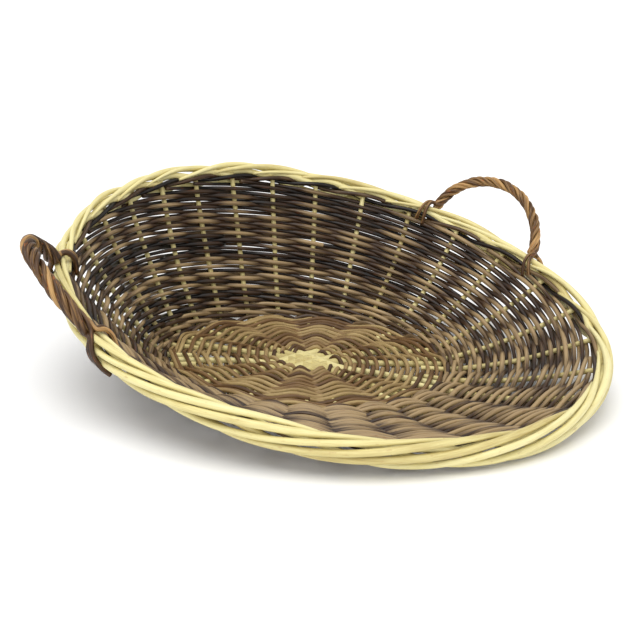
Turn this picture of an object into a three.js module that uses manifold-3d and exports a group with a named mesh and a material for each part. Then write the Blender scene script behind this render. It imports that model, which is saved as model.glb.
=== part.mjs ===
// A round willow fruit basket with a sloping rim: high at the back (+Y), low at the front (-Y),
// and a twisted ear handle on each side (+X and -X). Millimetres, +Z up. The origin is the middle
// of the base's underside, on the surface that the basket stands on.
//
// Base: three pierced sticks carry four through sticks, and a flat disc of pairing holds them.
// Side: stakes pushed into the edge of the base turn up, through a wale and two bands of
// randing, and end in a rod border. Handles: a bow with three rods wound round it.
import * as THREE from "three";
import { mergeVertices } from "three/addons/utils/BufferGeometryUtils.js";
import Module from "manifold-3d";

const wasm = await Module();
wasm.setup();

// ---- sizes ----
const STAKES = 28;
const STAKE_R = 2.5;
const FIT = 0.45; // radial clearance of a rod in its hole, and the gap between touching pieces
const ROD_SIDES = 6;

const BASE_R = 131;
const BASE_THICK = 14;
const BASE_HOLE_R = 36; // where the pairing begins, round the crossed sticks
const PIERCED_STICKS = 3;
const THROUGH_STICKS = 4;
const PIERCED_R = 4.8;
const THROUGH_R = 2.9;
const STICK_PITCH = 11; // spacing of the sticks where they lie side by side
const STICK_SPREAD_R = 60; // where the fanned sticks reach their own directions
const STICK_INSET = 4; // a stick ends this far inside the base's edge
const STICK_LIFT = 0.1; // the outer pierced sticks lie this much higher than the middle one
const STICK_TURN = -Math.PI / STAKES; // each stick end lies midway between two stakes

const STAKE_IN_BASE = 25; // length of a stake pushed into the base

const RIM_BACK = 194; // reach of the rim's centre line from the middle of the base
const RIM_SIDE = 247;
const RIM_FRONT = 276;
const RIM_BACK_Z = 147; // its height above the floor
const RIM_SIDE_Z = 85;
const RIM_FRONT_Z = 22;
const BELLY = 5; // outward bow of the side half way up

const WALE_HEIGHT = 17;
const WALE_HALF = 6;
const SIDING_HALF = 5.4;
const BAND_GAP = 1.1; // between one woven band and the next
const BORDER_DROP = 5; // the border's inner edge lies this far below the rim's centre line
const BORDER_RISE = 9;
const BORDER_INSIDE = 7;
const BORDER_OUTSIDE = 13;
const BORDER_SKIRT = 17; // its outer rods hang this far below the centre line
const BORDER_LEAN_BACK = 21; // degrees from upright, outwards
const BORDER_LEAN_SIDE = 40;
const BORDER_LEAN_FRONT = 42;
const STAKE_TIP = 3; // a stake ends this far past the centre line, inside the border

const HANDLE_TURN = 83.4; // degrees round the rim, from the back to a handle's middle
const HANDLE_DEPTH = 1; // a bow ends this far below the rim's centre line
const STRANDS = 3; // rods wound round each bow
const STRAND_GAP = 0.6; // between a bow and the rods wound round it
const STRAND_START = 4; // the winding starts this far above the border

// Each handle has its own span (degrees from its middle to each end), reach (from the rim's
// centre line to the top of the bow), lean (degrees from upright, outwards), skew (its top's
// shift towards the low front), rods and turns of winding.
const HANDLES = [
  { word: "right", side: 1, span: 13.6, reach: 61, lean: 40, skew: 4, bowR: 2, strandR: 2, turns: 4.5 },
  { word: "left", side: -1, span: 14, reach: 62, lean: 44, skew: 2, bowR: 2.5, strandR: 2.5, turns: 3.5 },
];

// ---- materials ----
const buff = { color: 0xd9cf93, roughness: 0.6, metalness: 0 };
const bark = { color: 0x4a3626, roughness: 0.7, metalness: 0 };
const lightBark = { color: 0x7c6046, roughness: 0.7, metalness: 0 };
const ropeBark = { color: 0x6e4424, roughness: 0.6, metalness: 0 };

const basket = new THREE.Group();

function addPiece(name, geometry, look) {
  const mesh = new THREE.Mesh(geometry, new THREE.MeshStandardMaterial(look));
  mesh.name = name;
  basket.add(mesh);
}

// ---- solids ----
function solidOf(geometry) {
  const bare = geometry.clone();
  bare.deleteAttribute("normal");
  bare.deleteAttribute("uv");
  const merged = mergeVertices(bare, 1e-4);
  const triVerts = new Uint32Array(merged.index.array);
  const vertProperties = merged.attributes.position.array;
  const solid = new wasm.Manifold(new wasm.Mesh({ numProp: 3, vertProperties, triVerts }));
  if (solid.volume() > 0) return solid;
  for (let i = 0; i < triVerts.length; i += 3) {
    const first = triVerts[i];
    triVerts[i] = triVerts[i + 1];
    triVerts[i + 1] = first;
  }
  return new wasm.Manifold(new wasm.Mesh({ numProp: 3, vertProperties, triVerts }));
}

function geometryOf(solid) {
  const { vertProperties, triVerts } = solid.getMesh();
  const shared = new THREE.BufferGeometry();
  shared.setAttribute("position", new THREE.BufferAttribute(new Float32Array(vertProperties), 3));
  shared.setIndex(new THREE.BufferAttribute(new Uint32Array(triVerts), 1));
  const flat = shared.toNonIndexed();
  flat.computeVertexNormals();
  return flat;
}

function cut(solid, cutters) {
  return cutters.reduce((rest, cutter) => rest.subtract(cutter), solid);
}

// ---- the side's middle surface ----
// A turn is an angle round the basket, in radians from the back (+Y) towards +X.
function wave(back, side, front, turn) {
  const first = (back - front) / 2;
  const mean = ((back + front) / 2 + side) / 2;
  const second = (back + front) / 2 - mean;
  return mean + first * Math.cos(turn) + second * Math.cos(2 * turn);
}

// The section of the side at one turn: foot, direction up the side, outward normal and length.
function sideAt(turn) {
  const edge = new THREE.Vector2(BASE_R + FIT, BASE_THICK / 2);
  const rim = new THREE.Vector2(
    wave(RIM_BACK, RIM_SIDE, RIM_FRONT, turn),
    wave(RIM_BACK_Z, RIM_SIDE_Z, RIM_FRONT_Z, turn),
  );
  const steepness = rim.clone().sub(edge).normalize().y;
  const foot = edge.clone();
  foot.x += WALE_HALF * steepness;
  const up = rim.clone().sub(foot);
  const length = up.length();
  up.normalize();
  const out = new THREE.Vector2(up.y, -up.x);
  return { foot, up, out, length };
}

// The point at a distance up the side from its foot, and a distance out from the middle surface.
function sidePoint(turn, along, outward) {
  const { foot, up, out, length } = sideAt(turn);
  const half = length / 2;
  const bow = BELLY * Math.max(0, 1 - Math.abs(along - half) / half);
  const r = foot.x + up.x * along + out.x * (outward + bow);
  const z = foot.y + up.y * along + out.y * (outward + bow);
  return new THREE.Vector3(r * Math.sin(turn), r * Math.cos(turn), z);
}

// The point at a distance past the rim's centre line and out from it. The border stands more
// upright than the side does, above all at the low front.
function borderPoint(turn, past, outward) {
  const { foot, up, length } = sideAt(turn);
  const degrees = wave(BORDER_LEAN_BACK, BORDER_LEAN_SIDE, BORDER_LEAN_FRONT, turn);
  const lean = THREE.MathUtils.degToRad(degrees);
  const r = foot.x + up.x * length + Math.sin(lean) * past + Math.cos(lean) * outward;
  const z = foot.y + up.y * length + Math.cos(lean) * past - Math.sin(lean) * outward;
  return new THREE.Vector3(r * Math.sin(turn), r * Math.cos(turn), z);
}

// A closed ring round the basket: a lathe of the section, with each point moved to place(turn, x, y).
function ringOf(section, place) {
  const shift = 1000;
  const closed = [...section, section[0]].map(([x, y]) => new THREE.Vector2(x + shift, y));
  const ring = new THREE.LatheGeometry(closed, STAKES);
  const position = ring.attributes.position;
  for (let i = 0; i < position.count; i += 1) {
    const x = position.getX(i);
    const z = position.getZ(i);
    const step = Math.round((Math.atan2(x, z) / (2 * Math.PI)) * STAKES);
    const turn = (step / STAKES) * 2 * Math.PI;
    const across = Math.round((Math.hypot(x, z) - shift) * 100) / 100;
    const point = place(turn, across, position.getY(i));
    position.setXYZ(i, point.x, point.y, point.z);
  }
  return solidOf(ring);
}

// ---- rods ----
// A rod's centre line through chosen stations, with one ring of the rod at each.
class RodLine extends THREE.Curve {
  constructor(stations) {
    super();
    this.stations = stations;
  }

  getPoint(t) {
    const last = this.stations.length - 1;
    const place = t * last;
    const low = Math.min(Math.floor(place + 1e-9), last - 1);
    return this.stations[low].clone().lerp(this.stations[low + 1], place - low);
  }

  getPointAt(t) {
    return this.getPoint(t);
  }

  getTangentAt(t) {
    const last = this.stations.length - 1;
    const at = Math.round(t * last);
    const before = this.stations[Math.max(at - 1, 0)];
    const here = this.stations[at];
    const after = this.stations[Math.min(at + 1, last)];
    const tangent = new THREE.Vector3();
    if (at > 0) tangent.add(here.clone().sub(before).normalize());
    if (at < last) tangent.add(after.clone().sub(here).normalize());
    return tangent.normalize();
  }
}

function rodOf(stations, radius, sides = ROD_SIDES) {
  const corners = [];
  for (let i = 0; i < sides; i += 1) {
    const a = ((i + 0.5) / sides) * 2 * Math.PI;
    corners.push(new THREE.Vector2(radius * Math.cos(a), radius * Math.sin(a)));
  }
  const path = new RodLine(stations);
  const settings = { steps: stations.length - 1, extrudePath: path, bevelEnabled: false };
  return solidOf(new THREE.ExtrudeGeometry(new THREE.Shape(corners), settings));
}

// The same line with both ends carried on by a length, for the hole that a rod sits in.
function carriedOn(stations, extra) {
  const line = stations.map((p) => p.clone());
  const last = line.length - 1;
  line[0].add(stations[0].clone().sub(stations[1]).setLength(extra));
  line[last].add(stations[last].clone().sub(stations[last - 1]).setLength(extra));
  return line;
}

function holeOf(stations, radius, extra = FIT) {
  return rodOf(carriedOn(stations, extra), radius + FIT);
}

// ---- base ----
function polar(r, turn, z) {
  return new THREE.Vector3(r * Math.sin(turn), r * Math.cos(turn), z);
}

// One base stick: straight through the crossing, fanning out to its own direction at each end.
// mainTurn is the way its group runs, rank its place in the group (0 is the middle).
function stickLine(mainTurn, rank, flatZ) {
  const fan = (2 * Math.PI) / (2 * (PIERCED_STICKS + THROUGH_STICKS));
  const side = mainTurn + Math.PI / 2;
  const offset = polar(rank * STICK_PITCH, side, 0);
  const middleZ = BASE_THICK / 2;
  const crossing = ((THROUGH_STICKS + 1) / 2) * STICK_PITCH;
  const end = (sign) => {
    const turn = mainTurn + (sign > 0 ? rank * fan : Math.PI - rank * fan);
    return [
      polar(sign * crossing, mainTurn, flatZ).add(offset),
      polar(STICK_SPREAD_R, turn, middleZ),
      polar(BASE_R - STICK_INSET, turn, middleZ),
    ];
  };
  return [...end(-1).reverse(), ...end(1)];
}

const sticks = [];
const flatZ = PIERCED_R * Math.cos(Math.PI / ROD_SIDES); // the middle pierced stick lies flat at z = 0
for (let i = 0; i < PIERCED_STICKS; i += 1) {
  const rank = i - (PIERCED_STICKS - 1) / 2;
  const line = stickLine(STICK_TURN, rank, flatZ + Math.abs(rank) * STICK_LIFT);
  sticks.push({ name: `pierced_stick_${i + 1}`, line, radius: PIERCED_R, pierced: true });
}
for (let i = 0; i < THROUGH_STICKS; i += 1) {
  const rank = i - (THROUGH_STICKS - 1) / 2;
  const line = stickLine(STICK_TURN + Math.PI / 2, rank, flatZ);
  sticks.push({ name: `through_stick_${i + 1}`, line, radius: THROUGH_R, pierced: false });
}
const slots = sticks.filter((s) => !s.pierced).map((s) => holeOf(s.line, s.radius));
for (const { name, line, radius, pierced } of sticks) {
  const solid = pierced ? cut(rodOf(line, radius), slots) : rodOf(line, radius);
  addPiece(name, geometryOf(solid), buff);
}

// ---- stakes ----
// Each is pushed into the edge of the base, turns up at its foot and ends inside the border.
function stakeLine(turn) {
  const { foot, length } = sideAt(turn);
  const bend = 7;
  return [
    polar(BASE_R - STAKE_IN_BASE, turn, BASE_THICK / 2),
    polar(foot.x - bend, turn, BASE_THICK / 2),
    sidePoint(turn, 0, 0).lerp(sidePoint(turn, bend, 0), 0.25),
    sidePoint(turn, bend + 1, 0),
    sidePoint(turn, length / 2, 0),
    sidePoint(turn, length + STAKE_TIP, 0),
  ];
}

const stakeLines = [];
for (let i = 0; i < STAKES; i += 1) stakeLines.push(stakeLine((i / STAKES) * 2 * Math.PI));
const stakeHoles = stakeLines.map((line) => holeOf(line, STAKE_R));
stakeLines.forEach((line, i) => {
  const name = `stake_${String(i + 1).padStart(2, "0")}`;
  addPiece(name, geometryOf(rodOf(line, STAKE_R)), buff);
});

// ---- woven base ----
const discSection = [
  [BASE_HOLE_R, 0],
  [BASE_R - 3, 0],
  [BASE_R, 3],
  [BASE_R, BASE_THICK - 3],
  [BASE_R - 3, BASE_THICK],
  [BASE_HOLE_R, BASE_THICK],
];
const disc = ringOf(discSection, (turn, r, z) => polar(r, turn, z));
const stickHoles = sticks.map((s) => holeOf(s.line, s.radius));
addPiece("base_weave", geometryOf(cut(disc, [...stickHoles, ...stakeHoles])), lightBark);

// ---- border ring ----
// Its section, as distances past the rim's centre line and out from it, all larger by grow.
function borderRing(grow) {
  const inside = -BORDER_INSIDE - grow;
  const skirtInside = SIDING_HALF + BAND_GAP - grow;
  const skirt = -BORDER_SKIRT - grow;
  const section = [
    [-BORDER_DROP - grow, inside],
    [-BORDER_DROP - grow, skirtInside],
    [skirt, skirtInside],
    [skirt, BORDER_OUTSIDE - 1 + grow],
    [-BORDER_SKIRT / 4, BORDER_OUTSIDE + grow],
    [BORDER_RISE - 2 + grow, BORDER_INSIDE + grow],
    [BORDER_RISE + grow, 0],
    [BORDER_RISE - 2 + grow, inside],
  ];
  return ringOf(section, borderPoint);
}

// ---- woven side ----
// A band from one height to another, each a share of the side above the wale (or mm below it).
function bandOf(lowAt, highAt, half) {
  const section = [
    [0, -half],
    [0, half],
    [1, half],
    [1, -half],
  ];
  const place = (turn, end, outward) => {
    const along = end < 0.5 ? lowAt(turn) : highAt(turn);
    return sidePoint(turn, along, outward);
  };
  return cut(ringOf(section, place), stakeHoles);
}

const middleOf = (turn) => sideAt(turn).length / 2;
const topOf = (turn) => sideAt(turn).length - BORDER_DROP - BAND_GAP;
addPiece("wale", geometryOf(bandOf(() => 0, () => WALE_HEIGHT, WALE_HALF)), bark);
const lowBand = bandOf(() => WALE_HEIGHT + BAND_GAP, (t) => middleOf(t) - BAND_GAP / 2, SIDING_HALF);
addPiece("siding_lower", geometryOf(lowBand), bark);
const highBand = bandOf((t) => middleOf(t) + BAND_GAP / 2, topOf, SIDING_HALF);
addPiece("siding_upper", geometryOf(cut(highBand, [borderRing(BAND_GAP)])), bark);

// ---- handles ----
// A bow is half an ellipse over its chord, leaning outwards, with both ends in the border.
function handleFrame({ side, span, reach, lean }) {
  const middle = side * THREE.MathUtils.degToRad(HANDLE_TURN);
  const half = side * THREE.MathUtils.degToRad(span);
  const endAt = (turn) => sidePoint(turn, sideAt(turn).length, 0);
  const back = endAt(middle - half);
  const front = endAt(middle + half);
  const centre = back.clone().add(front).multiplyScalar(0.5);
  const chord = front.clone().sub(back);
  const outward = new THREE.Vector3(0, 0, 1).cross(chord).normalize();
  if (outward.dot(centre) < 0) outward.negate();
  const angle = THREE.MathUtils.degToRad(lean);
  const rise = new THREE.Vector3(0, 0, Math.cos(angle)).addScaledVector(outward, Math.sin(angle));
  const dip = Math.asin(HANDLE_DEPTH / reach);
  return { centre, halfChord: chord.multiplyScalar(0.5), rise, dip };
}

// The bow's point at a share t of its length, from the back end to the front end.
function bowPoint(handle, frame, t) {
  const a = -frame.dip + t * (Math.PI + 2 * frame.dip);
  const point = frame.centre.clone().addScaledVector(frame.halfChord, -Math.cos(a));
  const along = frame.halfChord.clone().normalize();
  point.addScaledVector(along, handle.skew * Math.sin(a) ** 2);
  return point.addScaledVector(frame.rise, handle.reach * Math.sin(a));
}

// A rod wound round the bow, starting and ending just above the border.
function strandLine(handle, frame, phase) {
  const steps = Math.round(8 * handle.turns);
  const height = BORDER_RISE + handle.strandR + STRAND_START;
  const start = (Math.asin(height / handle.reach) + frame.dip) / (Math.PI + 2 * frame.dip);
  const round = handle.bowR + STRAND_GAP + handle.strandR;
  const flat = frame.halfChord.clone().cross(frame.rise).normalize();
  const line = [];
  for (let i = 0; i <= steps; i += 1) {
    const t = start + (1 - 2 * start) * (i / steps);
    const here = bowPoint(handle, frame, t);
    const after = bowPoint(handle, frame, t + 1e-3);
    const along = after.sub(bowPoint(handle, frame, t - 1e-3)).normalize();
    const across = flat.clone().cross(along).normalize();
    const twist = (i / steps) * handle.turns * 2 * Math.PI + phase;
    here.addScaledVector(across, round * Math.cos(twist));
    here.addScaledVector(flat, round * Math.sin(twist));
    line.push(here);
  }
  return line;
}

const bowHoles = [];
for (const handle of HANDLES) {
  const frame = handleFrame(handle);
  const bow = [];
  const bowSteps = 16;
  for (let i = 0; i <= bowSteps; i += 1) bow.push(bowPoint(handle, frame, i / bowSteps));
  addPiece(`handle_${handle.word}_bow`, geometryOf(rodOf(bow, handle.bowR)), ropeBark);
  bowHoles.push(holeOf(bow, handle.bowR));
  for (let k = 0; k < STRANDS; k += 1) {
    const line = strandLine(handle, frame, (k / STRANDS) * 2 * Math.PI);
    const strand = rodOf(line, handle.strandR);
    addPiece(`handle_${handle.word}_strand_${k + 1}`, geometryOf(strand), ropeBark);
  }
}

// ---- border ----
addPiece("border", geometryOf(cut(borderRing(0), [...stakeHoles, ...bowHoles])), buff);

export default basket;
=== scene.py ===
"""A round willow fruit basket with a sloping rim and two twisted ear handles.

Every rod is a circle carried along a line that follows how the basket is worked: sticks crossed
in the base, pairing round them, stakes turned up through a wale, randing up the side, a rod
border, and rods wound round a bow for each handle. Lengths are millimetres until a mesh is made.
A turn is an angle round the basket, in radians from the high back (+Y) towards +X.
"""

import bpy
import numpy as np
from mathutils import Matrix


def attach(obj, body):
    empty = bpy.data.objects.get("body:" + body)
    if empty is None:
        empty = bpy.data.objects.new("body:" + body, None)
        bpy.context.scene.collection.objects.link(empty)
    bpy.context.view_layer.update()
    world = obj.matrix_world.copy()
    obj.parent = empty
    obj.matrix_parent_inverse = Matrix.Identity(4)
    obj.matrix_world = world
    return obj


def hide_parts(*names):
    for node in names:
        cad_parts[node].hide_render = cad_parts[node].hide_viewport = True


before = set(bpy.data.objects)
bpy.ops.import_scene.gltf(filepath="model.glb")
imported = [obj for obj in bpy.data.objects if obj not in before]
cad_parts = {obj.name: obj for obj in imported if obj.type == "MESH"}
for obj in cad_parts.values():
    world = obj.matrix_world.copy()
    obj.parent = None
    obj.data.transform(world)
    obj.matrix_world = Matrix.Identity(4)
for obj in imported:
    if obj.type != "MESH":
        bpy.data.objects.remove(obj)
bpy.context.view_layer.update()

# ---- sizes: the solid model's, but for the handles ----
STAKES = 28
STEP = 2 * np.pi / STAKES
STAKE_R = 2.5
BASE_R = 131.0
BASE_THICK = 14.0
RIM_REACH = (194.0, 247.0, 276.0)
RIM_HEIGHT = (147.0, 85.0, 22.0)
BORDER_LEAN = (21.0, 40.0, 42.0)  # degrees from upright at the back, the sides and the front
BELLY = 5.0
WALE_HALF = 6.0
WALE_HEIGHT = 17.0
EDGE_GAP = 0.45  # from the edge of the base to the side
STICK_PITCH = 11.0
STICK_SPREAD_R = 60.0
STICK_END_R = BASE_R - 4.0
STAKE_BUTT_R = BASE_R - 25.0
STICK_TURN = -np.pi / STAKES
HANDLE_TURN = np.radians(83.4)
# Each handle: its side, its span and lean in degrees, its reach from the rim, its top's skew
# towards the front, the radius of the bow and of the wound rods, how far out from the bow the
# winding lies, and its turns. The bows reach 3 mm farther than the solid ones, and the rods are a
# little thinner and wound a tenth of a turn less.
HANDLES = {
    "right": {"side": 1, "span": 13.6, "reach": 64.0, "lean": 40.0, "skew": 4.0,
              "bow_r": 1.9, "rod_r": 1.75, "wind_r": 3.6, "winds": 4.4},
    "left": {"side": -1, "span": 14.0, "reach": 65.0, "lean": 44.0, "skew": 2.0,
             "bow_r": 2.2, "rod_r": 2.3, "wind_r": 4.8, "winds": 3.4},
}


# ---- the side's middle surface ----
def wave(sizes, turn):
    """A size that varies round the basket: a mean, plus one wave and a half-length wave, so
    that it takes the three given values at the back, the sides and the front."""
    back, side, front = sizes
    first = (back - front) / 2
    mean = ((back + front) / 2 + side) / 2
    second = (back + front) / 2 - mean
    return mean + first * np.cos(turn) + second * np.cos(2 * turn)


def side_section(turn):
    """The straight section of the side at a turn: its foot's reach and height, its unit
    direction (reach, height) and its length up to the rim's centre line."""
    edge_r, edge_z = BASE_R + EDGE_GAP, BASE_THICK / 2
    rim_r, rim_z = wave(RIM_REACH, turn), wave(RIM_HEIGHT, turn)
    steep = (rim_z - edge_z) / np.hypot(rim_r - edge_r, rim_z - edge_z)
    foot_r = edge_r + WALE_HALF * steep
    length = np.hypot(rim_r - foot_r, rim_z - edge_z)
    return foot_r, edge_z, (rim_r - foot_r) / length, (rim_z - edge_z) / length, length


def side_point(turn, along, outward):
    """A point of the side: from the foot, along the section's direction, then outward along its
    normal by outward plus the belly, which is a parabola over the section's length."""
    foot_r, foot_z, up_r, up_z, length = side_section(turn)
    share = np.clip(along / length, 0, 1)
    outward = outward + BELLY * 4 * share * (1 - share)
    reach = foot_r + up_r * along + up_z * outward
    height = foot_z + up_z * along - up_r * outward
    return np.stack([reach * np.sin(turn), reach * np.cos(turn), height], axis=-1)


def border_point(turn, past, outward):
    """The point of the border at a turn: a distance past the rim's centre line and out from it,
    in a section that stands more upright than the side does, above all at the low front."""
    foot_r, foot_z, up_r, up_z, length = side_section(turn)
    lean = np.radians(wave(BORDER_LEAN, turn))
    reach = foot_r + up_r * length + np.sin(lean) * past + np.cos(lean) * outward
    height = foot_z + up_z * length + np.cos(lean) * past - np.sin(lean) * outward
    return np.stack([reach * np.sin(turn), reach * np.cos(turn), height], axis=-1)


def side_normal(turn):
    """The outward normal of the side's section at a turn."""
    _, _, up_r, up_z, _ = side_section(turn)
    return np.stack([up_z * np.sin(turn), up_z * np.cos(turn), -up_r], axis=-1)


def polar(reach, turn, height):
    """A point from its distance out, its turn and its height."""
    reach, turn, height = np.broadcast_arrays(reach, turn, height)
    return np.stack([reach * np.sin(turn), reach * np.cos(turn), height], axis=-1)


def drift(seed, *places):
    """Smooth unevenness between about -1 and 1: a sum of sines of the places, each with a whole
    number of waves to the turn and its own start."""
    rng = np.random.default_rng(seed)
    total = 0.0
    for strength in (0.5, 0.35, 0.25, 0.2):
        waves = rng.integers(2, 9, len(places)) * rng.choice([-1, 1], len(places))
        total = total + strength * np.sin(
            sum(w * p for w, p in zip(waves, places)) + rng.uniform(0, 2 * np.pi)
        )
    return total


def through(points, count):
    """Lines through given points, each stretch a cubic whose slope at a point is half the step
    between its neighbours, with count stations spread evenly over the points."""
    points = np.asarray(points, float)
    last = points.shape[1] - 1
    t = np.linspace(0, last, count)
    low = np.minimum(t.astype(int), last - 1)
    f = (t - low)[None, :, None]
    a, b = points[:, np.maximum(low - 1, 0)], points[:, low]
    c, d = points[:, low + 1], points[:, np.minimum(low + 2, last)]
    return 0.5 * (2 * b + (c - a) * f + (2 * a - 5 * b + 4 * c - d) * f**2
                  + (3 * b - a - 3 * c + d) * f**3)


def table_curve(x, at, values):
    """A smooth curve through listed values, read at any x: each stretch is the cubic that meets
    the values at both its ends and the slopes there, taken from the stretches on either side."""
    at, values = np.asarray(at, float), np.asarray(values, float)
    last = len(at) - 1
    low = np.clip(np.searchsorted(at, x, side="right") - 1, 0, last - 1)
    slope = np.gradient(values, at)
    width = at[low + 1] - at[low]
    f = np.clip((x - at[low]) / width, 0, 1)
    return ((2 * f**3 - 3 * f**2 + 1) * values[low] + (f**3 - 2 * f**2 + f) * width * slope[low]
            + (3 * f**2 - 2 * f**3) * values[low + 1] + (f**3 - f**2) * width * slope[low + 1])


# ---- rods ----
def unit(v):
    return v / np.maximum(np.linalg.norm(v, axis=-1, keepdims=True), 1e-9)


def bundle(lines, radius, beside, sides=8, seed=1, shift_and_painted_light=0.0):
    """Willow rods as arrays. At each station of each line a circle stands across the line:
    centre + radius * (cos a * out + sin a * over), where over is the line's direction crossed
    with the side given as beside, and out completes the square. Each end closes on a point in
    its middle, pushed out by a tenth of the radius.

    Each vertex keeps its place in the rod (across, across, along, in millimetres) as its grain,
    and a number for its rod, from 0 to 1 plus the shift given last, as its tone. On the side
    weavers that shift holds painted highlight and painted shade, and so the tone does too."""
    lines = np.asarray(lines, float)
    n, m, _ = lines.shape
    radius = np.broadcast_to(np.asarray(radius, float), (n, m))
    ahead = unit(np.gradient(lines, axis=1))
    over = unit(np.cross(ahead, np.broadcast_to(beside, lines.shape)))
    out = np.cross(over, ahead)
    a = np.linspace(0, 2 * np.pi, sides, endpoint=False)
    ring = lines[:, :, None] + radius[:, :, None, None] * (
        np.cos(a)[None, None, :, None] * out[:, :, None]
        + np.sin(a)[None, None, :, None] * over[:, :, None]
    )
    steps = np.linalg.norm(np.diff(lines, axis=1, prepend=lines[:, :1]), axis=2)
    length = np.cumsum(steps, axis=1)
    # A random tone for each rod plus the given shift; on the side weavers the shift carries painted
    # highlight and painted shade.
    tone_and_painted_light = np.random.default_rng(seed).uniform(0, 1, n)[:, None] + np.zeros((n, m)) + shift_and_painted_light
    start = np.arange(n) * 2000.0
    place = np.zeros((n, m, sides, 3))
    place[..., 0] = radius[:, :, None] * np.cos(a)
    place[..., 1] = radius[:, :, None] * np.sin(a)
    place[..., 2] = (length + start[:, None])[:, :, None]
    tip_a = lines[:, 0] - ahead[:, 0] * radius[:, :1] * 0.1
    tip_b = lines[:, -1] + ahead[:, -1] * radius[:, -1:] * 0.1
    tip_place = np.zeros((n, 2, 3))
    tip_place[:, 0, 2], tip_place[:, 1, 2] = start, start + length[:, -1]

    verts = np.concatenate([ring.reshape(n, -1, 3), np.stack([tip_a, tip_b], axis=1)], axis=1)
    grain = np.concatenate([place.reshape(n, -1, 3), tip_place], axis=1)
    vertex_tones_and_painted_light = np.concatenate([np.repeat(tone_and_painted_light, sides, axis=1), tone_and_painted_light[:, [0, -1]]], axis=1)
    i, j = np.meshgrid(np.arange(m - 1), np.arange(sides), indexing="ij")
    k = (j + 1) % sides
    quads = np.stack([i * sides + j, i * sides + k, (i + 1) * sides + k, (i + 1) * sides + j],
                     axis=-1).reshape(-1, 4)
    j, k = np.arange(sides), (np.arange(sides) + 1) % sides
    cap_a = np.stack([np.full(sides, m * sides), k, j], axis=-1)
    last = (m - 1) * sides
    cap_b = np.stack([np.full(sides, m * sides + 1), last + j, last + k], axis=-1)
    shift = (np.arange(n) * (m * sides + 2))[:, None, None]
    quads = (quads[None] + shift).reshape(-1, 4)
    caps = (np.concatenate([cap_a, cap_b])[None] + shift).reshape(-1, 3)
    return verts.reshape(-1, 3) * 0.001, quads, caps, grain.reshape(-1, 3), vertex_tones_and_painted_light.ravel()


def rods(name, *bundles):
    """One piece from one or more bundles of rods."""
    verts, quads, caps, grain, tone_and_painted_light = zip(*bundles)
    first = np.cumsum([0] + [len(v) for v in verts[:-1]])
    quads = np.concatenate([q + f for q, f in zip(quads, first)])
    caps = np.concatenate([c + f for c, f in zip(caps, first)])
    return mesh_piece(name, np.concatenate(verts), quads, caps, np.concatenate(grain),
                      np.concatenate(tone_and_painted_light))


def mesh_piece(name, verts, quads, caps, grain, tone_and_painted_light):
    """One smooth-shaded object from arrays of corners, four-sided and three-sided faces."""
    mesh = bpy.data.meshes.new(name)
    mesh.vertices.add(len(verts))
    mesh.vertices.foreach_set("co", verts.ravel())
    corners = np.concatenate([quads.ravel(), caps.ravel()])
    sizes = np.concatenate([np.full(len(quads), 4), np.full(len(caps), 3)])
    mesh.loops.add(len(corners))
    mesh.loops.foreach_set("vertex_index", corners)
    mesh.polygons.add(len(sizes))
    mesh.polygons.foreach_set("loop_start", np.concatenate([[0], np.cumsum(sizes)[:-1]]))
    mesh.polygons.foreach_set("loop_total", sizes)
    mesh.polygons.foreach_set("use_smooth", sizes == 4)
    layer = mesh.attributes.new("grain", "FLOAT_VECTOR", "POINT")
    layer.data.foreach_set("vector", grain.astype(np.float32).ravel())
    layer = mesh.attributes.new("tone_and_painted_light", "FLOAT", "POINT")
    layer.data.foreach_set("value", tone_and_painted_light.astype(np.float32))
    mesh.update()
    mesh.validate()
    piece = bpy.data.objects.new(name, mesh)
    bpy.context.scene.collection.objects.link(piece)
    return piece


def settle(piece, slot, look, *nodes):
    """The piece takes its material, rides on the basket and stands for its solid nodes."""
    piece.data.materials.append(look)
    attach(piece, "root")
    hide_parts(*nodes)


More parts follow.
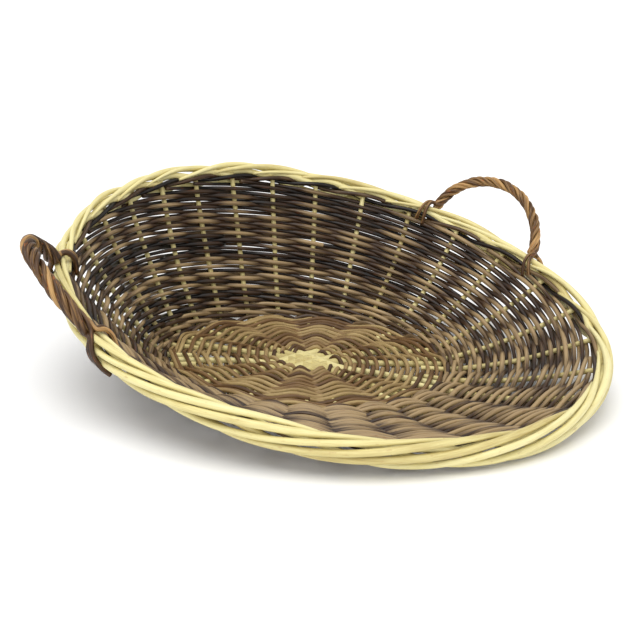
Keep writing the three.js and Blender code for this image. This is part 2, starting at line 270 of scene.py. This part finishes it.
# ---- materials ----
def willow_grain_group():
    """The surface of a willow rod: each rod's tone, which on the side weavers also holds painted
    highlight and painted shade, with lengthwise streaks, cloudy blotches and small scars, which
    shift a colour between a dark, a middle and a light one."""
    group = bpy.data.node_groups.new("willow grain", "ShaderNodeTree")
    face = group.interface
    for label in ("Dark", "Middle", "Light", "Scar"):
        face.new_socket(label, in_out="INPUT", socket_type="NodeSocketColor")
    for label, value in (("Tone Share", 0.6), ("Streak Share", 0.4), ("Scar Amount", 0.3),
                         ("Gloss", 0.45), ("Centre", 0.0)):
        socket = face.new_socket(label, in_out="INPUT", socket_type="NodeSocketFloat")
        socket.default_value = value
    face.new_socket("Colour", in_out="OUTPUT", socket_type="NodeSocketColor")
    face.new_socket("Roughness", in_out="OUTPUT", socket_type="NodeSocketFloat")
    face.new_socket("Height", in_out="OUTPUT", socket_type="NodeSocketFloat")
    nodes, links = group.nodes, group.links
    given, made = nodes.new("NodeGroupInput"), nodes.new("NodeGroupOutput")

    def attribute(name):
        node = nodes.new("ShaderNodeAttribute")
        node.attribute_name = name
        return node

    def noise(scale, stretch, detail):
        """Noise over the rod's own place, squeezed along the rod by stretch."""
        turned = nodes.new("ShaderNodeMapping")
        turned.inputs["Scale"].default_value = (1, 1, stretch)
        links.new(grain.outputs["Vector"], turned.inputs["Vector"])
        node = nodes.new("ShaderNodeTexNoise")
        node.inputs["Scale"].default_value = scale
        node.inputs["Detail"].default_value = detail
        links.new(turned.outputs["Vector"], node.inputs["Vector"])
        return node.outputs["Fac"]

    def maths(kind, a, b, clamp=False):
        node = nodes.new("ShaderNodeMath")
        node.operation = kind
        node.use_clamp = clamp
        for socket, value in zip(node.inputs, (a, b)):
            if isinstance(value, (int, float)):
                socket.default_value = value
            else:
                links.new(value, socket)
        return node.outputs[0]

    def mixed(fac, a, b):
        node = nodes.new("ShaderNodeMix")
        node.data_type = "RGBA"
        links.new(fac, node.inputs["Factor"])
        links.new(a, node.inputs["A"])
        links.new(b, node.inputs["B"])
        return node.outputs["Result"]

    def stretch_range(value, low, high):
        node = nodes.new("ShaderNodeMapRange")
        node.inputs["From Min"].default_value = low
        node.inputs["From Max"].default_value = high
        links.new(value, node.inputs["Value"])
        return node.outputs["Result"]

    grain = attribute("grain")
    tone_and_painted_light = attribute("tone_and_painted_light")
    streaks = stretch_range(noise(1.1, 0.05, 3), 0.3, 0.7)
    clouds = stretch_range(noise(0.25, 0.12, 2), 0.32, 0.68)
    fine = noise(2.2, 0.25, 2)
    # The tone attribute: a random tone for each rod, and on the side weavers painted highlight and
    # painted shade as well.
    painted_light_and_tone_part = maths("MULTIPLY", tone_and_painted_light.outputs["Fac"], given.outputs["Tone Share"])
    streak_part = maths("MULTIPLY", maths("ADD", streaks, clouds), given.outputs["Streak Share"])
    level = maths("ADD", maths("ADD", painted_light_and_tone_part, streak_part), given.outputs["Centre"])
    low = mixed(maths("MULTIPLY", level, 2.0, True), given.outputs["Dark"], given.outputs["Middle"])
    high = maths("SUBTRACT", maths("MULTIPLY", level, 2.0), 1.0, True)
    colour = mixed(high, low, given.outputs["Light"])
    scars = stretch_range(noise(0.42, 0.35, 2), 0.64, 0.74)
    scars = maths("MULTIPLY", scars, given.outputs["Scar Amount"], True)
    colour = mixed(scars, colour, given.outputs["Scar"])
    links.new(colour, made.inputs["Colour"])
    rough = maths("ADD", given.outputs["Gloss"], maths("MULTIPLY", fine, 0.22))
    links.new(rough, made.inputs["Roughness"])
    height = maths("ADD", maths("MULTIPLY", streaks, 0.6), maths("MULTIPLY", fine, 0.4))
    links.new(height, made.inputs["Height"])
    return group


grain_group = willow_grain_group()
BUMP_HEIGHT = 0.0003  # metres


def willow(name, dark, middle, light, scar, tone_share=0.5, streak_share=0.25, scar_amount=0.35,
           gloss=0.38, centre=0.0, specular=0.5):
    """A willow finish: the grain group with this finish's own colours, under a plain gloss."""
    look = bpy.data.materials.new(name)
    look.use_nodes = True
    nodes, links = look.node_tree.nodes, look.node_tree.links
    shader = nodes["Principled BSDF"]
    grain = nodes.new("ShaderNodeGroup")
    grain.node_tree = grain_group
    for label, colour in (("Dark", dark), ("Middle", middle), ("Light", light), ("Scar", scar)):
        grain.inputs[label].default_value = (*colour, 1)
    grain.inputs["Tone Share"].default_value = tone_share
    grain.inputs["Streak Share"].default_value = streak_share
    grain.inputs["Scar Amount"].default_value = scar_amount
    grain.inputs["Gloss"].default_value = gloss
    grain.inputs["Centre"].default_value = centre
    raised = nodes.new("ShaderNodeBump")
    raised.inputs["Strength"].default_value = 0.5
    raised.inputs["Distance"].default_value = BUMP_HEIGHT
    links.new(grain.outputs["Colour"], shader.inputs["Base Color"])
    links.new(grain.outputs["Roughness"], shader.inputs["Roughness"])
    links.new(grain.outputs["Height"], raised.inputs["Height"])
    links.new(raised.outputs["Normal"], shader.inputs["Normal"])
    shader.inputs["Specular IOR Level"].default_value = specular
    return look


peeled_border = willow("peeled border willow", (0.43, 0.32, 0.10), (0.70, 0.615, 0.275),
                       (0.82, 0.76, 0.42), (0.38, 0.20, 0.07), gloss=0.36)
peeled_stake = willow("peeled stake willow", (0.33, 0.24, 0.08), (0.58, 0.49, 0.20),
                      (0.74, 0.66, 0.33), (0.28, 0.15, 0.06), gloss=0.4)
dark_bark = willow("dark willow bark", (0.004, 0.0015, 0.0004), (0.044, 0.0200, 0.0070),
                   (0.34, 0.235, 0.115), (0.15, 0.034, 0.008), tone_share=0.8, streak_share=0.26,
                   gloss=0.28, centre=-0.11, specular=0.38)
light_bark = willow("light willow bark", (0.036, 0.015, 0.004), (0.160, 0.084, 0.030),
                    (0.46, 0.34, 0.145), (0.07, 0.024, 0.010), tone_share=0.62,
                    gloss=0.38, centre=-0.09, specular=0.3)
rope_bark = willow("handle willow bark", (0.010, 0.0035, 0.0008), (0.082, 0.037, 0.012),
                   (0.46, 0.27, 0.10), (0.40, 0.12, 0.025), tone_share=0.7, streak_share=0.48,
                   scar_amount=0.75, gloss=0.3, centre=-0.16, specular=0.35)

# ---- base ----
UPRIGHT = np.array([0.0, 0.0, 1.0])
PIERCED = (-1.0, 0.0, 1.0)
THROUGH = (-1.5, -0.5, 0.5, 1.5)
STICK_ENDS = 14
FAN = 2 * np.pi / STICK_ENDS
MIDDLE_Z = BASE_THICK / 2
CROSSING = 27.5
STICK_R = 2.9
# Height at the crossing, and how much thicker the sticks are there.
PIERCED_Z, PIERCED_SWELL = 5.8, 2.5
THROUGH_Z, THROUGH_SWELL = 6.1, 2.0


def stick_points(main, rank, crossing_z):
    """A base stick's line: out along its own direction, then side by side with its group
    through the crossing, and out again on the far side."""
    offset = polar(rank * STICK_PITCH, main + np.pi / 2, 0)

    def end(sign):
        turn = main + (rank * FAN if sign > 0 else np.pi - rank * FAN)
        inner = polar(sign * CROSSING, main, crossing_z) + offset
        outer = [polar(r, turn, MIDDLE_Z) for r in (STICK_SPREAD_R, 85, 108, STICK_END_R)]
        return [inner, *outer]

    return [*end(-1)[::-1], polar(0, 0, crossing_z) + offset, *end(1)]


def base_stick(name, node, main, rank, crossing_z, swell, seed):
    """One base stick, thicker by swell at the crossing, as a bell over the middle third."""
    line = through([stick_points(main, rank, crossing_z)], 61)
    radius = STICK_R + swell * np.exp(-(np.linspace(-3.4, 3.4, 61)) ** 4)
    piece = rods(name, bundle(line, radius, UPRIGHT, 12, seed))
    settle(piece, "base_stick_willow", peeled_stake, node)


for number, rank in enumerate(PIERCED, 1):
    base_stick(f"pierced_stick_rod_{number}", f"pierced_stick_{number}", STICK_TURN, rank,
               PIERCED_Z, PIERCED_SWELL, 10 + number)
for number, rank in enumerate(THROUGH, 1):
    base_stick(f"through_stick_rod_{number}", f"through_stick_{number}", STICK_TURN + np.pi / 2,
               rank, THROUGH_Z, THROUGH_SWELL, 20 + number)

PAIR_PITCH = 9.3
PAIR_ROUNDS = 12.2
PAIR_RUN = 17  # sticks passed by one rod
PAIR_STAGGER = 9  # sticks from one rod's start to its partner's
PAIR_R = 2.2
PAIR_START_R = 22
PAIR_EDGE = BASE_R - 3.2  # the outermost rounds lie here
PAIR_SWAY, PAIR_LIFT = 2.3, 4.7
PAIR_LOWEST, PAIR_HIGHEST = 2.6, BASE_THICK - 1.2
HUG_ALONG, HUG_ACROSS = 25.0, 21.0  # half the length and breadth of the hugged crossing


def base_pairing():
    """Pairs of rods worked round the base: each passes over one stick and under the next while
    its partner does the opposite, so that height is a pointed cosine and distance out a sine of
    the sticks passed, and the two turn round each other. The pair moves out by two rods a round.
    The first rounds hug the crossing, a rounded oblong, and the last stop at the edge."""
    ranks = np.array([*PIERCED, *THROUGH, *PIERCED, *THROUGH])
    mains = STICK_TURN + np.repeat([0, 1, 2, 3], [3, 4, 3, 4]) * np.pi / 2
    inner = mains + np.arctan2(ranks * STICK_PITCH, CROSSING)
    fanned = mains + ranks * FAN
    starts = np.arange(0, PAIR_ROUNDS * STICK_ENDS - PAIR_RUN / 2, PAIR_RUN)
    starts = np.concatenate([starts, starts + PAIR_STAGGER])[:, None]
    sign = np.repeat([1.0, -1.0], len(starts) // 2)[:, None]
    stroke = np.linspace(-0.3, PAIR_RUN + 0.3, PAIR_RUN * 9)[None]
    passed = np.clip(starts + stroke, 0, PAIR_ROUNDS * STICK_ENDS)
    done = passed / STICK_ENDS
    low = np.floor(passed).astype(int)
    part = passed - low
    spread = np.clip((done - 0.6) / 3, 0, 1)

    def angle(k):
        whole = (k // STICK_ENDS) * 2 * np.pi
        return whole + inner[k % STICK_ENDS] * (1 - spread) + fanned[k % STICK_ENDS] * spread

    turn = angle(low) * (1 - part) + angle(low + 1) * part
    facing = turn - STICK_TURN
    along, across = np.abs(np.cos(facing) / HUG_ALONG), np.abs(np.sin(facing) / HUG_ACROSS)
    oblong = (along ** 3 + across ** 3) ** (-1 / 3)
    hug = np.clip(1 - done / 4, 0, 1)
    moved = PAIR_PITCH * done
    middle = (PAIR_START_R + moved) * (1 - hug) + (oblong + moved) * hug
    over_edge = np.maximum(middle - PAIR_EDGE, 0)
    swing = np.pi * passed
    reach = middle - over_edge + sign * PAIR_SWAY * np.sin(swing)
    reach = reach + 0.8 * drift(31, turn, done * 0.9)
    pointed = 0.9 * np.cos(swing) + 0.1 * np.cos(3 * swing)
    lift = PAIR_LIFT * (1 + 0.08 * drift(32, turn, done * 1.3))
    height = MIDDLE_Z + sign * lift * pointed + 0.2 * over_edge
    width = PAIR_R - 0.35 * (stroke / PAIR_RUN) + 0.12 * drift(33, turn)
    thin = np.interp(passed, [PAIR_ROUNDS * STICK_ENDS - 6, PAIR_ROUNDS * STICK_ENDS], [1, 0.6])
    lines = polar(reach, turn, np.clip(height, PAIR_LOWEST, PAIR_HIGHEST))
    return rods("base_pairing", bundle(lines, width * thin, UPRIGHT, 8, 34))


settle(base_pairing(), "base_weaver_bark", light_bark, "base_weave")

# ---- stakes ----
for number in range(STAKES):
    turn = number * STEP
    foot_r, foot_z, _, _, length = side_section(turn)
    sway = 0.005 * drift(40 + number, np.linspace(0, 1, 5))
    along = np.array([7, 0.3 * length, 0.55 * length, 0.8 * length, length - 1])
    up_side = side_point(turn + sway, along, 0)
    base_part = polar(np.array([STAKE_BUTT_R, STAKE_BUTT_R + 10, foot_r - 6]), turn, foot_z)
    line = through([[*base_part, *up_side]], 60)
    around = polar(1.0, turn + np.pi / 2, 0)
    piece = rods(f"stake_rod_{number + 1:02d}",
                 bundle(line, STAKE_R * np.linspace(1.04, 0.92, 60), around, 10, 60 + number))
    settle(piece, "stake_willow", peeled_stake, f"stake_{number + 1:02d}")


# ---- side ----
def front_share(turn):
    """1 at the low front and 0 at the high back, as a squared half cosine."""
    return ((1 - np.cos(turn)) / 2) ** 2


WALE_ROUNDS = 2.4
WALE_START, WALE_RISE = 1.2, 6.4  # up the side: where the rods start, and the rise in a round
WALE_R = 2.1
WALE_LOWEST = 2.4
FOOT_R = 2.15
FOOT_IN, FOOT_LIFT = 2.8, 4.4


def wale():
    """Three rods of waling at the foot of the side: each passes inside one stake and outside the
    next two, in a cosine three stakes long, and they lie one above another on the outside. The
    low front is kept clear of the floor. Below them a pair of rods passes over and under the
    stakes as a cosine of the stakes passed, close round the edge of the base."""
    rod = np.arange(3)[:, None]
    passed = np.linspace(0, WALE_ROUNDS * STAKES, 68 * 9)[None] + 0 * rod
    turn = -(rod + passed) * STEP
    part = 2 * np.pi * passed / 3
    outward = (1 / 3 - 4 / 3 * np.cos(part)) * (STAKE_R + 1.9)
    along = WALE_START + WALE_RISE * passed / STAKES + 1.9 * np.sin(part)
    lines = side_point(turn, along, np.clip(outward, -4.6, 5.6))
    lines[..., 2] = np.maximum(lines[..., 2], WALE_LOWEST)
    waling = bundle(lines, WALE_R, side_normal(turn), 8, 101, 0.5 * front_share(turn))
    side_of_pair = np.array([[1.0], [-1.0]])
    passed = np.linspace(0, STAKES + 0.5, 260)[None] + 0 * side_of_pair
    turn = -passed * STEP
    reach = np.maximum(side_section(turn)[0] - FOOT_IN, BASE_R)
    height = MIDDLE_Z + side_of_pair * FOOT_LIFT * np.cos(np.pi * passed)
    lines = polar(reach, turn, height)
    foot = bundle(lines, FOOT_R, UPRIGHT, 8, 102, 0.3 * front_share(turn))
    return rods("wale_rods", waling, foot)


settle(wale(), "side_weaver_bark", dark_bark, "wale")

ROW = 3.75
RAND_TOP = 10.0  # the rows end this far below the rim's centre line
WEAVER_R = 2.2
WEAVER_LOWEST = 3.0
PACKED_TURN, PACKED_SPREAD = 0.95, 0.85  # the rows close up round this turn, over this spread
TOP_PAIR_R = 2.15
TOP_PAIR_DOWN, TOP_PAIR_OUT = 5.6, 4.9


def side_randing():
    """One weaver for each stake, worked in turn inside one stake and outside the next, rising by
    one row at each. Across the side it swings as a cosine of the stakes passed. Where it swings
    in it rides up and where it swings out it drops, so openings show beside the stakes. Between
    the back and one side it is the other way about, as a bell of the turn, and the rows close
    up. Smooth waves crowd the rows in some places and part them in others. Each weaver is two
    rods, the second laid in about half way up, and is kept clear of the floor. A twisted pair
    closes the rows at the top."""
    rod = np.arange(STAKES)[:, None]
    longest = np.linspace(0.4, 40, 1600)[None] + 0 * rod
    rise = WALE_HEIGHT + ROW * longest
    room = side_section(-(rod + longest) * STEP)[4] - RAND_TOP
    top = longest[0, np.argmax(rise > room, axis=1)][:, None]
    half = 2 * np.round(top / 4) + 0.75
    half = np.where(rod % 3 == 0, half + 2, half)
    bundles = []
    lower = (113, -0.35, half)
    upper = (114, np.minimum(half - 0.35, top - 1), top)
    for seed, first, last in (lower, upper):
        share = np.linspace(0, 1, 190)[None]
        passed = first + (last - first) * share
        turn = -(rod + passed) * STEP
        side_on = np.abs(np.sin(turn))
        away = np.arctan2(np.sin(turn - PACKED_TURN), np.cos(turn - PACKED_TURN))
        packed = np.exp(-((away / PACKED_SPREAD) ** 2))
        swing = np.cos(np.pi * passed)
        rows = WALE_HEIGHT - 0.4 + ROW * passed
        ride_up = 0.1 + 0.35 * side_on - 1.75 * packed + 0.25 * drift(111, turn, rows * 0.06)
        along = rows - swing * ride_up + 0.75 * drift(112, turn, rows * 0.05)
        along = along + 0.4 * np.sin(passed * 1.7 + rod * 2.4)
        width = WEAVER_R - 0.22 * share + 0.26 * np.sin(rod * 5.1 + seed)
        width = width + 0.08 * np.sin(passed * 2.3) + 0.14 * packed
        outward = swing * (STAKE_R + 0.7 * width) * (1 + 0.1 * np.sin(rod * 3.3 + passed * 2.1))
        lines = side_point(turn, along, outward)
        lines[..., 2] = np.maximum(lines[..., 2], WEAVER_LOWEST)
        # Lighter towards the low front. Painted highlight on the inside passes, where the weaver
        # passes inside a stake, and painted shade on the outside passes and where the rods cross
        # between the stakes.
        lightness_and_painted_light = 0.46 * front_share(turn) - 0.16 + 0.34 * (np.abs(swing) - 0.6) - 0.2 * swing
        bundles.append(bundle(lines, width, side_normal(turn), 8, seed, lightness_and_painted_light))
    pair = np.arange(2)[:, None]
    passed = np.linspace(0, STAKES + 1.5, 290)[None] + 0 * pair
    turn = -(pair + passed) * STEP
    along = side_section(turn)[4] - TOP_PAIR_DOWN + 1.7 * np.sin(np.pi * passed)
    along = along + 0.4 * drift(115, turn)
    lines = side_point(turn, along, TOP_PAIR_OUT * np.cos(np.pi * passed))
    # The closing pair: darker all round and lighter towards the low front.
    lightness_and_painted_light = 0.6 * front_share(turn) - 0.5
    bundles.append(bundle(lines, TOP_PAIR_R, side_normal(turn), 8, 116, lightness_and_painted_light))
    return rods("side_weavers", *bundles)


settle(side_randing(), "side_weaver_bark", dark_bark, "siding_lower", "siding_upper")


# ---- border ----
BORDER_AT = (0, 0.3, 0.7, 1.1, 1.45, 1.9, 2.5, 3.2, 3.9, 4.6, 5.2, 5.7, 6.1, 6.5)
BORDER_PAST = (-6.0, -2.5, 0.5, -2.5, -8.5, -12.2, -9.6, -2.6, 3.4, 6.4, 6.0, 3.6, 0.5, -3.0)
BORDER_OUT = (0.0, -0.8, -0.3, 2.2, 5.0, 8.4, 10.8, 10.6, 7.4, 2.2, -2.3, -5.0, -5.2, -3.0)
BORDER_RUN = BORDER_AT[-1]
BORDER_R = 3.5
BORDER_LOWEST = 4.3
BACK_SIZE = 0.88  # how large the border is at the back, against the front


def border_rods():
    """One rod for each stake, laid down and worked past the next six: behind the first, out
    low between the next two, slowly up the outer face, over the top and in, where its thin tip
    is tucked down. Its place in the section is read from the tables, by the stakes passed, and
    made uneven by sines of the rod's number and the stakes passed. It is kept clear of the
    floor."""
    rod = np.arange(STAKES)[:, None]
    passed = np.linspace(0, BORDER_RUN, 100)[None] + 0 * rod
    turn = -(rod + passed) * STEP
    ragged = 1.3 * np.sin(rod * 2.7 + passed * 1.3) + 0.9 * np.sin(rod * 4.9 + passed * 2.6)
    past = table_curve(passed, BORDER_AT, BORDER_PAST) + ragged * np.clip(passed / 2, 0, 1)
    outward = table_curve(passed, BORDER_AT, BORDER_OUT) + 0.8 * np.cos(rod * 1.9 + passed * 1.3)
    size = BACK_SIZE + (1 - BACK_SIZE) * front_share(turn)
    lines = border_point(turn, size * past, size * outward)
    lines[..., 2] = np.maximum(lines[..., 2], BORDER_LOWEST)
    width = BORDER_R - 0.07 * passed + 0.36 * np.sin(rod * 4.3) + 0.1 * np.sin(passed * 3.1 + rod)
    width = width * np.interp(passed, [4.9, BORDER_RUN], [1.0, 0.5])
    return rods("border_rods", bundle(lines, size * width, side_normal(turn), 12, 121))


settle(border_rods(), "border_willow", peeled_border, "border")


# ---- handles ----
def bow_frame(side, span, lean):
    """A handle's middle, half its chord from back to front, and the way it rises, leaning out."""
    turns = side * (HANDLE_TURN + np.radians([-span, span]))
    ends = side_point(turns, side_section(turns)[4], 0)
    centre, chord = ends.mean(axis=0), ends[1] - ends[0]
    outward = unit(np.cross([0, 0, 1], chord))
    outward = outward * np.sign(outward @ centre)
    rise = UPRIGHT * np.cos(np.radians(lean)) + outward * np.sin(np.radians(lean))
    return turns, centre, chord / 2, rise


def bow_line(centre, half, rise, reach, skew, share):
    """The bow: half an ellipse over the chord, from its back end (share 0) to its front end
    (share 1), its top shifted along the chord by skew times a squared sine."""
    a = np.pi * np.asarray(share)[..., None]
    shift = skew * np.sin(a) ** 2 * unit(half)
    return centre - half * np.cos(a) + reach * np.sin(a) * rise + shift


def tucked_end(turn, number, near):
    """Where a wound rod goes past the border at a turn: over the top and down inside the side,
    or down outside it to a cut end, by its number. near is 1 at the front end, -1 at the back."""
    inside = ((11.5, -4.5), (7.5, -9.6), (0.5, -10.6), (-5.5, -8.0), (-11.0, -3.6))
    outside = ((10.5, 5.5), (5.0, 12.4), (-1.5, 15.2), (-7.5, 15.6), (-13.5, 14.0))
    steps = inside if number % 3 == 1 else outside
    past, outward = np.array(steps).T
    spread = near * (0.010 + 0.011 * number) * np.linspace(0.2, 1.0, len(past))
    ragged = past - 3.0 * (number % 2) * np.linspace(0, 1, len(past)) ** 2
    turns = turn + spread * np.sign(turn)
    return border_point(turns, ragged, outward)


PAIR_APART = 0.84  # radians round the bow between the two rods of a strand


def handle(word):
    """A handle's bow and its three strands, each of two rods. A strand winds round the bow as a
    helix, its two rods side by side, and its ends pass the border in different ways."""
    sizes = HANDLES[word]
    side, reach, skew, winds = (sizes[key] for key in ("side", "reach", "skew", "winds"))
    turns, centre, half, rise = bow_frame(side, sizes["span"], sizes["lean"])
    flat = unit(np.cross(half, rise))
    whole = bow_line(centre, half, rise, reach, skew, np.linspace(0.0, 1.0, 70))
    piece = rods(f"handle_{word}_bow_rod", bundle(whole[None], sizes["bow_r"], flat, 10, 140))
    settle(piece, "handle_bark", rope_bark, f"handle_{word}_bow")
    share = np.linspace(0.06, 0.94, 46)
    here = bow_line(centre, half, rise, reach, skew, share)
    across = np.cross(flat, unit(np.gradient(here, axis=0)))
    for strand in range(3):
        lines = []
        for number in (2 * strand, 2 * strand + 1):
            phase = 2 * np.pi * strand / 3 + (number % 2 - 0.5) * PAIR_APART
            twist = 2 * np.pi * winds * share + phase + 0.22 * np.sin(9 * share + number)
            out = sizes["wind_r"] * (1 + 0.07 * np.sin(14 * share + 2.1 * number))
            wound = here + out[:, None] * (across * np.cos(twist)[:, None]
                                           + flat * np.sin(twist)[:, None])
            back = tucked_end(turns[0], number, -1)
            front = tucked_end(turns[1], number, 1)
            lines.append(np.concatenate([back[::-1], wound, front]))
        lines = through(lines, 190)
        swell = 1 + 0.09 * np.sin(np.linspace(0, 17, 190) + strand)
        piece = rods(f"handle_{word}_wound_rods_{strand + 1}",
                     bundle(lines, sizes["rod_r"] * swell, flat, 8, 150 + 7 * strand + side))
        settle(piece, "handle_bark", rope_bark, f"handle_{word}_strand_{strand + 1}")


for word in HANDLES:
    handle(word)


# ---- floor, light and camera ----
def plain_look(name, colour, roughness):
    look = bpy.data.materials.new(name)
    look.use_nodes = True
    shader = look.node_tree.nodes["Principled BSDF"]
    shader.inputs["Base Color"].default_value = (*colour, 1)
    shader.inputs["Roughness"].default_value = roughness
    return look


FLOOR_HALF = 6.0  # metres
floor_mesh = bpy.data.meshes.new("floor")
corners = [(x * FLOOR_HALF, y * FLOOR_HALF, 0) for x, y in ((-1, -1), (1, -1), (1, 1), (-1, 1))]
floor_mesh.from_pydata(corners, [], [(0, 1, 2, 3)])
floor = bpy.data.objects.new("floor", floor_mesh)
floor_mesh.materials.append(plain_look("pale floor", (0.95, 0.95, 0.95), 0.9))
bpy.context.scene.collection.objects.link(floor)

world = bpy.context.scene.world or bpy.data.worlds.new("studio")
bpy.context.scene.world = world
world.use_nodes = True
world.node_tree.nodes["Background"].inputs["Color"].default_value = (1, 1, 1, 1)
world.node_tree.nodes["Background"].inputs["Strength"].default_value = 0.8
bpy.context.scene.view_settings.view_transform = "Standard"


def wide_light(name, towards, strength, softness):
    """A distant soft light that shines from the side given as towards, spread over softness
    degrees."""
    lamp = bpy.data.lights.new(name, "SUN")
    lamp.energy = strength
    lamp.angle = np.radians(softness)
    holder = bpy.data.objects.new(name, lamp)
    back = unit(np.array(towards, float))
    right = unit(np.cross([0.0, 0.001, 1.0], back))
    grid = np.eye(4)
    grid[:3, 0], grid[:3, 1], grid[:3, 2] = right, np.cross(back, right), back
    holder.matrix_world = Matrix(grid.tolist())
    bpy.context.scene.collection.objects.link(holder)


wide_light("top_light", (-0.35, -0.15, 1.0), strength=1.5, softness=55)
wide_light("front_light", (-0.9, -1.1, 0.9), strength=0.7, softness=60)

# The camera stands in front, to the left and a little above, and faces the middle of the basket.
# Its angles, in degrees, are its tilt up from straight down, its lean and its turn to the right.
CAMERA_PLACE = (-1.06107, -1.31172, 0.56978)
CAMERA_ANGLES = (72.814, -3.131, -38.315)
lens = bpy.data.cameras.new("camera")
lens.lens = 106.9
lens.sensor_width = 36
lens.clip_end = 50
camera = bpy.data.objects.new("camera", lens)
camera.location = CAMERA_PLACE
camera.rotation_euler = np.radians(CAMERA_ANGLES)
bpy.context.scene.collection.objects.link(camera)
bpy.context.scene.camera = camera

bpy.context.view_layer.update()
